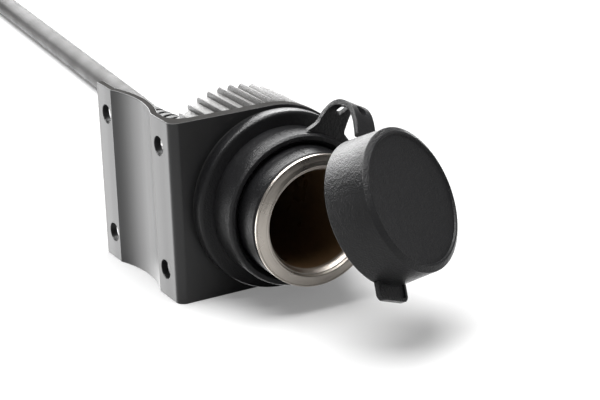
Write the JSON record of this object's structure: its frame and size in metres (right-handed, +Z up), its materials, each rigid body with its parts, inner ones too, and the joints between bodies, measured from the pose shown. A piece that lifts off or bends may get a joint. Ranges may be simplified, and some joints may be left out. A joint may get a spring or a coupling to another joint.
{
  "type": "car 12v power socket",
  "caption": "Round 12 V accessory power socket with a hinged rubber cap, held by a ring nut in an aluminium angle bracket, with a coiled two-core lead.",
  "frame": {"origin": "on the socket's axis, in the plane of the front face of the bracket's face plate", "axes": "-Y out of the socket's mouth, +Y along the lead's exit, +Z up, +X away from the bracket's side plate"},
  "size_m": [0.0842, 0.3846, 0.0432],
  "materials": {
    "bracket": "satin grey extrusion",
    "housing": "black, fine grain",
    "gasket": "matt black",
    "shell": "nickel plated, slightly warm",
    "nut": "black with a grey sheen",
    "cap_rubber": "black, fine grain",
    "insulator": "brown laminate",
    "brass": "plain",
    "red_sleeve": "red insulation",
    "black_sleeve": "black",
    "boot": "matt black",
    "jacket": "dark grey, soft sheen"
  },
  "bodies": {
    "socket": {"mounting_bracket": "bracket", "socket_housing": "housing", "flange_gasket": "gasket", "metal_shell": "shell", "ring_nut": "nut", "cap_ring": "cap_rubber", "cap_strap": "cap_rubber", "inner_insulator": "insulator", "centre_contact": "brass", "negative_terminal": "brass", "outer_insulator": "insulator", "positive_terminal": "brass", "positive_receptacle": "brass", "negative_receptacle": "brass", "positive_sleeve": "red_sleeve", "negative_sleeve": "black_sleeve", "positive_core": "red_sleeve", "negative_core": "black_sleeve", "rear_cover": "housing", "cable_boot": "boot", "lead_cable": "jacket", "lead_coil": "jacket", "lead_tail": "jacket", "coil_tie": "black_sleeve", "connector_body": "boot", "connector_pin": "brass", "connector_socket": "brass"},
    "lid": {"cap": "cap_rubber"}
  },
  "joints": [
    {"name": "cap_hinge", "type": "hinge", "parent": "socket", "child": "lid", "pos_m": [0.01523, -0.01632, 0.0156], "axis": [-0.7157, 0, 0.6984], "range_deg": [-39.5, 75], "stiffness_Nm_per_rad": 0.02, "deforming": ["cap_strap"]}
  ]
}
